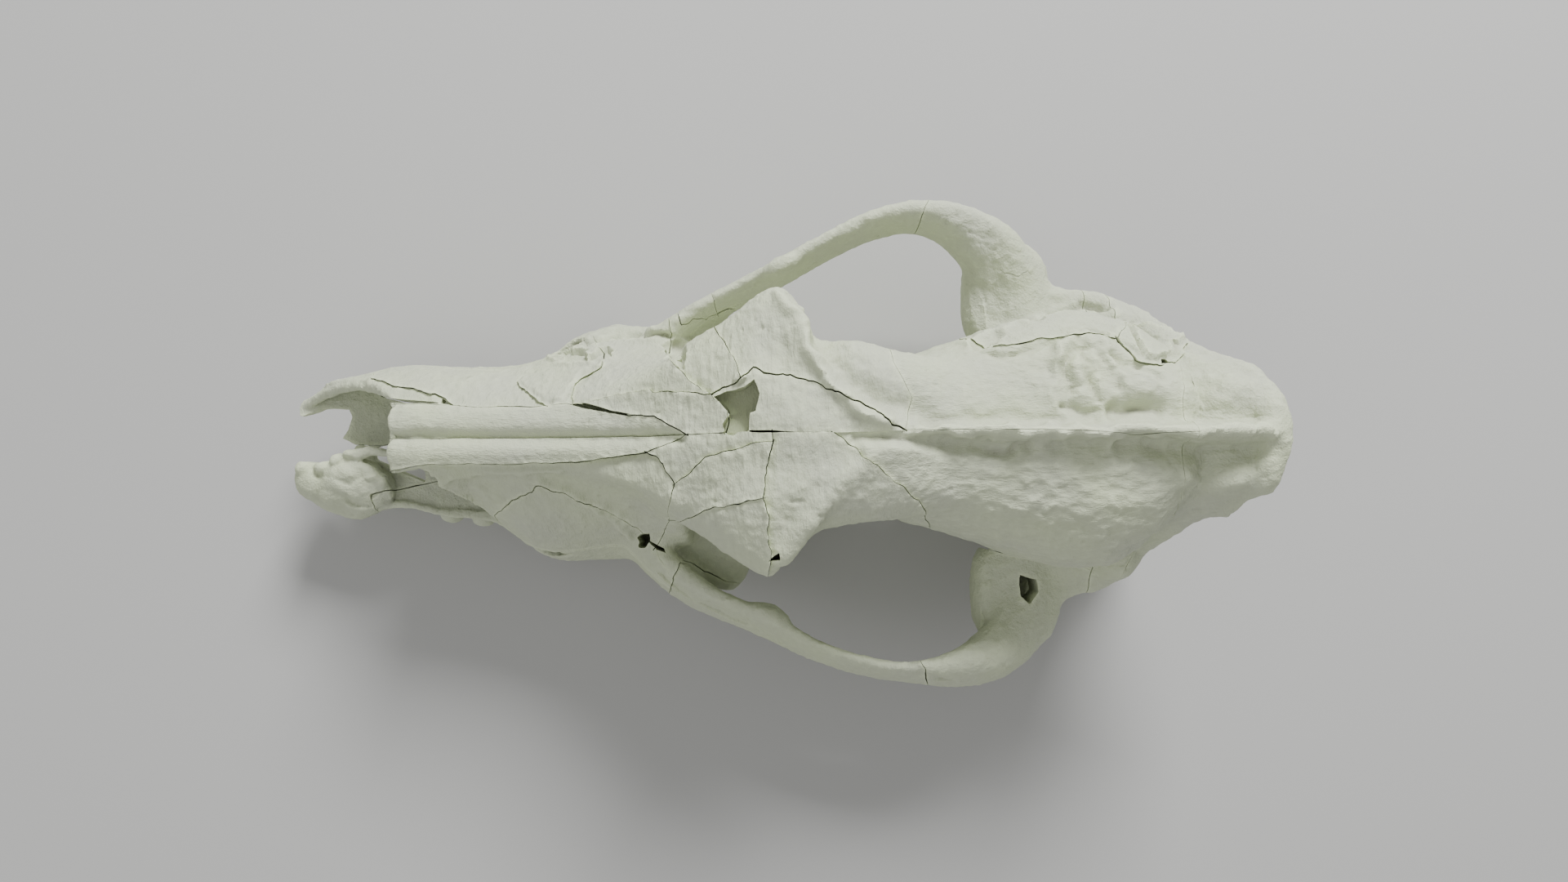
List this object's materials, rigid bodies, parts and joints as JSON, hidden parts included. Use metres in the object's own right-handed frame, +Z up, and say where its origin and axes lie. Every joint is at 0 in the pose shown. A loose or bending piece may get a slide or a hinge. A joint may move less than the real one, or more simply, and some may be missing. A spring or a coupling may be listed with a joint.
{
  "type": "wolf skull",
  "caption": "Cranium of a wolf without its lower jaw, pieced together from bone fragments, with cheek arches, ear capsules and upper cheek teeth.",
  "frame": {"origin": "middle of the skull's box, on the level that the carnassial tips and the ear capsules rest on", "axes": "+X towards the back of the skull, +Y to the animal's right side, +Z up"},
  "size_m": [0.2553, 0.1299, 0.0858],
  "materials": {
    "bone": "matte"
  },
  "bodies": {
    "root": {"nasal_right": "bone", "nasal_left": "bone", "premaxilla_right": "bone", "premaxilla_left": "bone", "maxilla_right_front": "bone", "maxilla_right_middle": "bone", "maxilla_right_rear": "bone", "maxilla_left_upper": "bone", "maxilla_left_lower": "bone", "frontal_right_strip": "bone", "lacrimal_right": "bone", "frontal_right": "bone", "frontal_right_plate": "bone", "frontal_left_strip": "bone", "frontal_left_front": "bone", "supraorbital_left": "bone", "frontal_left": "bone", "parietal_right": "bone", "parietal_left": "bone", "temporal_right": "bone", "nuchal_right": "bone", "occipital": "bone", "upper_jaw_right": "bone", "upper_jaw_left": "bone", "sphenoid": "bone", "bulla_right": "bone", "bulla_left": "bone", "squamosal_right": "bone", "squamosal_left": "bone", "jugal_right": "bone", "jugal_left": "bone", "occipital_base": "bone"}
  },
  "joints": []
}
